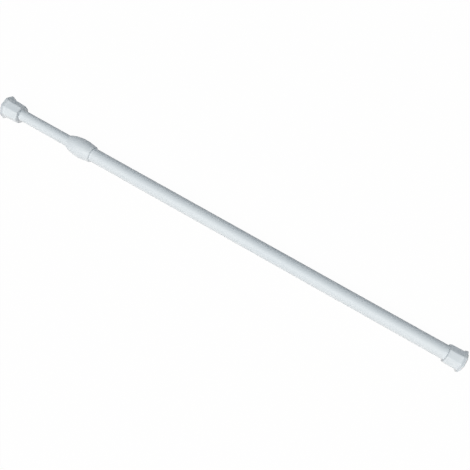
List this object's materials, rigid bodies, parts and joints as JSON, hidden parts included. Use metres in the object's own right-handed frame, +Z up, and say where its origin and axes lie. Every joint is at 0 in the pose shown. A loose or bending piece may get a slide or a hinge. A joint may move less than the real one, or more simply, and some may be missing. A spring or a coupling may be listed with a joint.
{
  "type": "extendable curtain rod",
  "caption": "Telescoping white tension rod for a light curtain, with flared octagonal end caps, soft foot pads, a bulb-shaped collar, and a twist lock and spring inside.",
  "frame": {"origin": "centre of the foot face at the thick tube's end", "axes": "+X along the rod from the thick tube's foot to the thin tube's foot, +Z up from the flat side that the thick tube's cap lies on"},
  "size_m": [0.5704, 0.027, 0.027],
  "materials": {
    "tube_paint": "smooth satin white paint on thin steel tube",
    "white_moulding": "moulded white plastic, slightly glossy",
    "foot_rubber": "soft off-white rubber, matt",
    "natural_plastic": "uncoloured moulded plastic, matt",
    "black_rubber": "matt black rubber",
    "spring_steel": "drawn spring steel, oiled",
    "plated_steel": "bright zinc plate"
  },
  "bodies": {
    "thick_tube": {"outer_tube": "tube_paint", "collar": "white_moulding", "outer_end_cap": "white_moulding", "outer_foot_pad": "foot_rubber"},
    "sleeve": {"expansion_sleeve": "natural_plastic", "drag_ring": "black_rubber"},
    "cone": {"cone_nut": "natural_plastic"},
    "screw": {"plunger": "natural_plastic", "retaining_clip": "spring_steel", "end_screw": "plated_steel", "spring_washer": "plated_steel"},
    "thin_tube": {"inner_tube": "tube_paint", "guide_bush": "natural_plastic", "compression_spring": "spring_steel", "spring_stop": "natural_plastic", "stop_pin": "spring_steel", "inner_end_cap": "white_moulding", "inner_foot_pad": "foot_rubber"}
  },
  "joints": [
    {"name": "telescope", "type": "slide", "parent": "thick_tube", "child": "sleeve", "axis": [1, 0, 0], "range_m": [-0.043, 0.23]},
    {"name": "twist_lock", "type": "hinge", "parent": "sleeve", "child": "screw", "pos_m": [0.1165, 0, 0], "axis": [1, 0, 0], "range_deg": [-360, 0]},
    {"name": "cone_draw", "type": "slide", "parent": "sleeve", "child": "cone", "axis": [1, 0, 0], "range_m": [0, 0.0042]},
    {"name": "spring_plunge", "type": "slide", "parent": "screw", "child": "thin_tube", "axis": [1, 0, 0], "range_m": [-0.022, 0], "stiffness_N_per_m": 1650, "springref_m": 0.006, "deforming": ["compression_spring"]}
  ],
  "couplings": [
    {"joint": "cone_draw", "follows": "twist_lock", "m_per_rad": -0.00063662}
  ]
}
